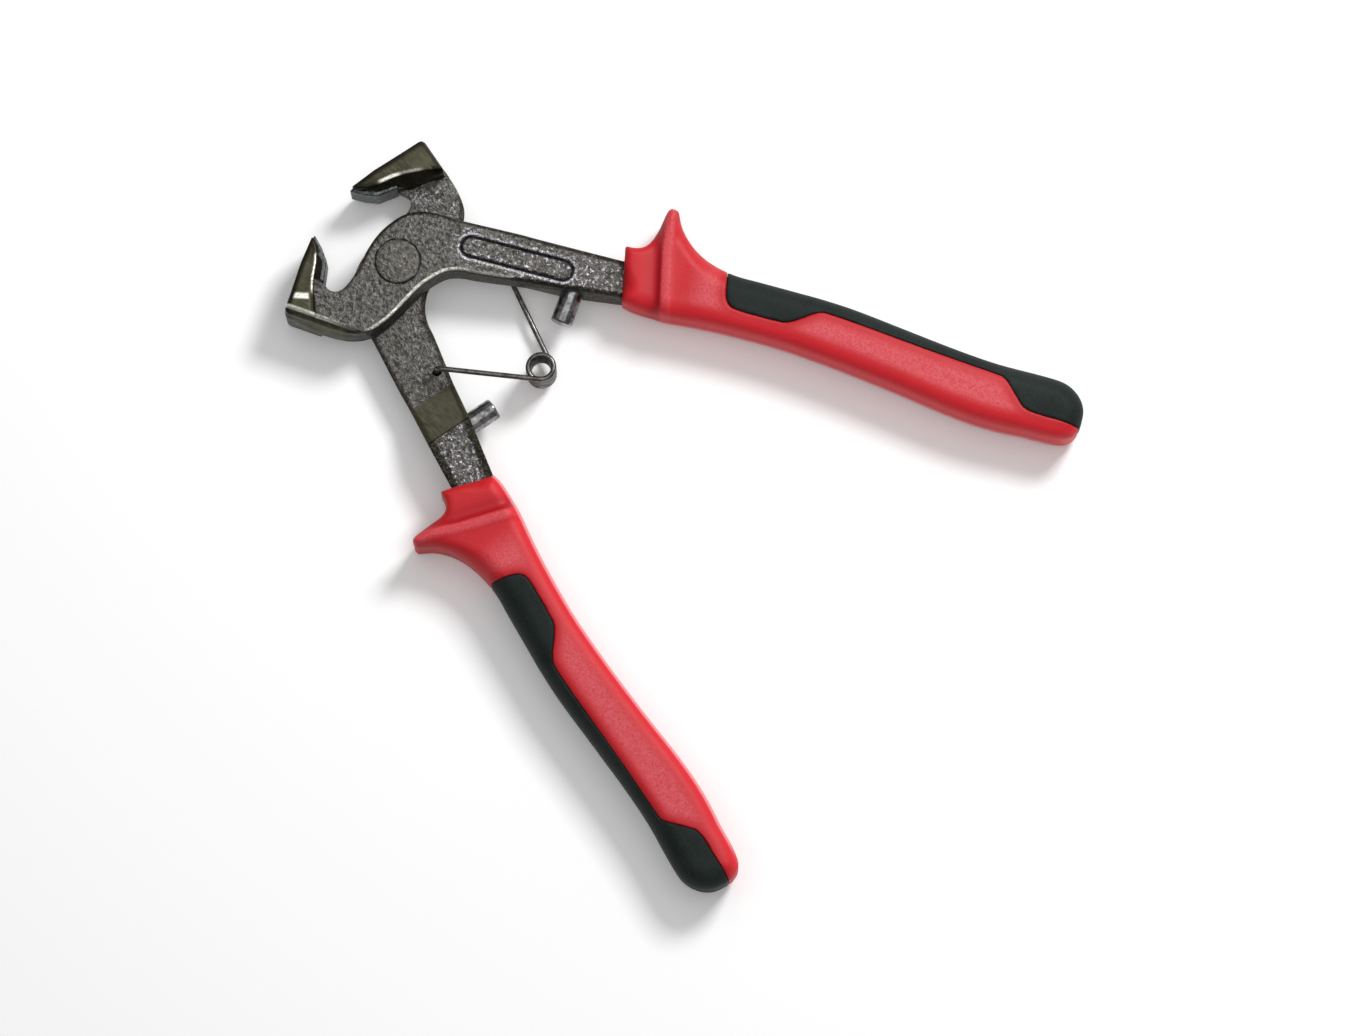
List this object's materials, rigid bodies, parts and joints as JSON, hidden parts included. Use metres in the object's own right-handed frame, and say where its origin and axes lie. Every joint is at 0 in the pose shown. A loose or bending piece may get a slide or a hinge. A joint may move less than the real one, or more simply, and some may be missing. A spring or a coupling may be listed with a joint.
{
  "type": "mosaic nippers",
  "caption": "Mosaic nippers with lapped forged halves, offset jaws with brazed carbide tips, stop pins, a torsion return spring and two-colour guarded grips.",
  "frame": {"origin": "centre of the rivet's back face, on the pivot axis, on the plane that the tool lies on", "axes": "+X along the middle of the open tool towards the handles, jaws at -X; +Z along the rivet, up from the face the tool lies on; the front half's handle is at +Y"},
  "size_m": [0.1819, 0.1568, 0.017],
  "materials": {
    "forged_steel": "forged, tumbled and darkened, ground smooth on the jaws",
    "carbide": "ground tungsten carbide",
    "rivet_steel": "darkened, lightly ground",
    "pin_steel": "polished",
    "spring_wire": "oil-tempered, drawn",
    "red_grip": "fine matte grain",
    "dark_insert": "fine matte grain"
  },
  "bodies": {
    "rear_half": {"rear_arm": "forged_steel", "rear_jaw_tip": "carbide", "pivot_rivet": "rivet_steel", "rear_stop_pin": "pin_steel", "rear_grip": "red_grip", "rear_grip_inlay": "dark_insert"},
    "front_half": {"front_arm": "forged_steel", "front_jaw_tip": "carbide", "front_stop_pin": "pin_steel", "front_grip": "red_grip", "front_grip_inlay": "dark_insert"},
    "spring_coil": {"return_spring": "spring_wire"},
    "spring_leg": {"return_spring_front_leg": "spring_wire"}
  },
  "joints": [
    {"name": "handle_close", "type": "hinge", "parent": "rear_half", "child": "front_half", "pos_m": [0, 0, 0.0085], "axis": [0, 0, -1], "range_deg": [0, 36], "stiffness_Nm_per_rad": 0.5, "springref_deg": -5.73},
    {"name": "spring_swing", "type": "hinge", "parent": "rear_half", "child": "spring_coil", "pos_m": [0.02399, -0.01516, 0.0085], "axis": [0, 0, -1], "range_deg": [0, 35.6]},
    {"name": "coil_wind", "type": "hinge", "parent": "spring_coil", "child": "spring_leg", "pos_m": [0.0441, 0.00116, 0.0085], "axis": [0, 0, 1], "range_deg": [0, 41.9]}
  ],
  "couplings": [
    {"joint": "spring_swing", "follows": "handle_close", "ratio": 0.98586},
    {"joint": "coil_wind", "follows": "handle_close", "ratio": 1.1606}
  ]
}
